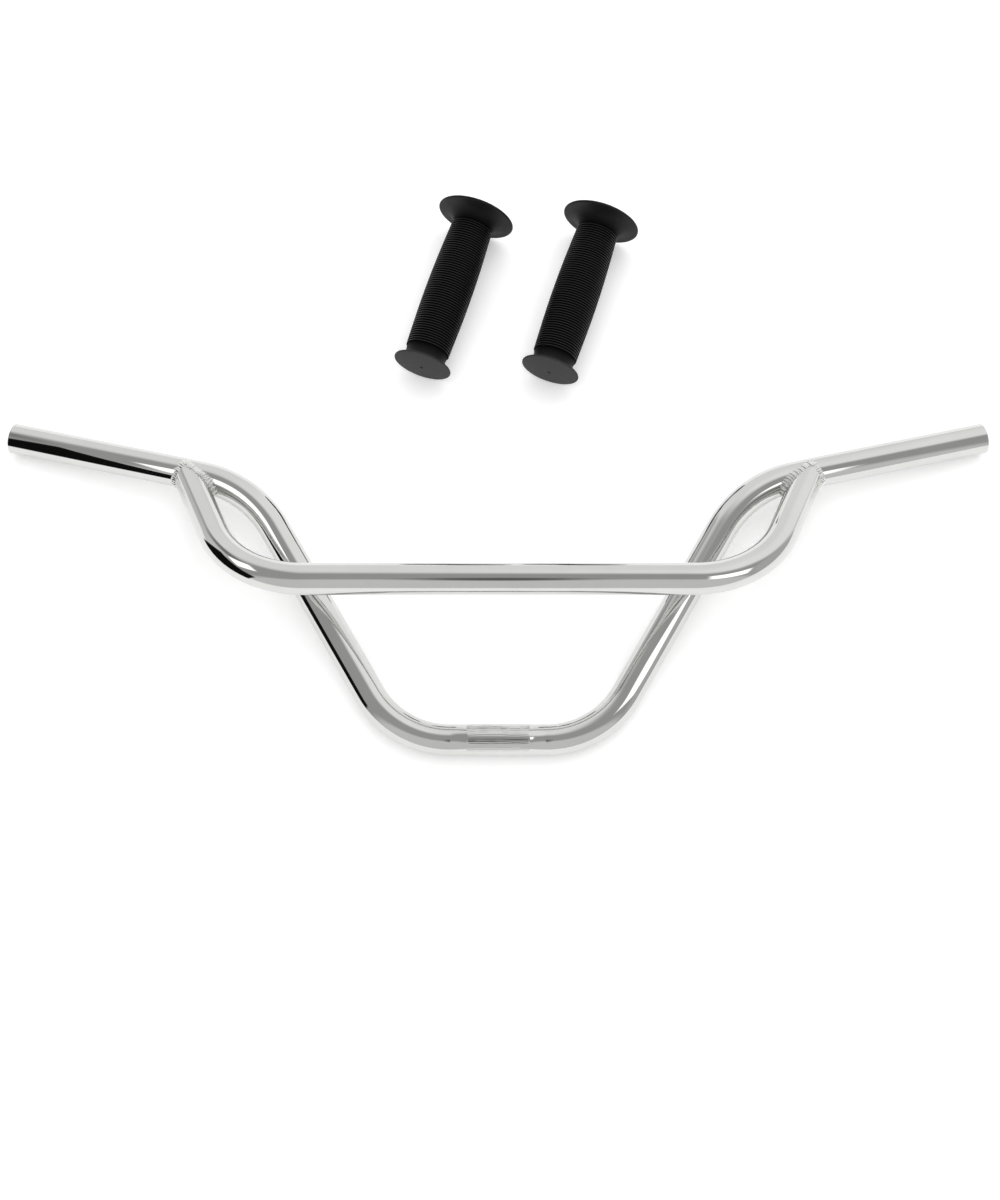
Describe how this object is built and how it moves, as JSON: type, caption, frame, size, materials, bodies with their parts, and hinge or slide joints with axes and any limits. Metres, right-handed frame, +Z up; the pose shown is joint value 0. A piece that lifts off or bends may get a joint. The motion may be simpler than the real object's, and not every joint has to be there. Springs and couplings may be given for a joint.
{
  "type": "handlebar",
  "caption": "Chromed bent-tube handlebar with a knurled clamp band and a welded front crossbar, laid out with a pair of loose ribbed mushroom grips.",
  "frame": {"origin": "centre of the clamp section, on the tube's axis", "axes": "+X along the clamp section to the right, +Y from the clamp section towards the bar ends, +Z up from the table that the set lies on, which is 11.3 mm below the origin"},
  "size_m": [0.7146, 0.4264, 0.0783],
  "materials": {
    "chrome_tube": "bright decorative chrome on bent steel tube, faint draw and polish lines",
    "chrome_weld": "chromed over a hand-laid fillet weld, lumpy and bright",
    "grip_rubber": "matte black moulded rubber, rounded ribs, satin cap face"
  },
  "bodies": {
    "bar": {"main_tube": "chrome_tube", "crossbar": "chrome_tube", "weld_left": "chrome_weld", "weld_right": "chrome_weld"},
    "left_grip": {"grip_left": "grip_rubber"},
    "right_grip": {"grip_right": "grip_rubber"}
  },
  "joints": [
    {"name": "grip_left_lift", "type": "slide", "parent": "bar", "child": "left_grip", "axis": [0, 0, 1], "range_m": [0, 0.2]},
    {"name": "grip_right_lift", "type": "slide", "parent": "bar", "child": "right_grip", "axis": [0, 0, 1], "range_m": [0, 0.2]}
  ]
}
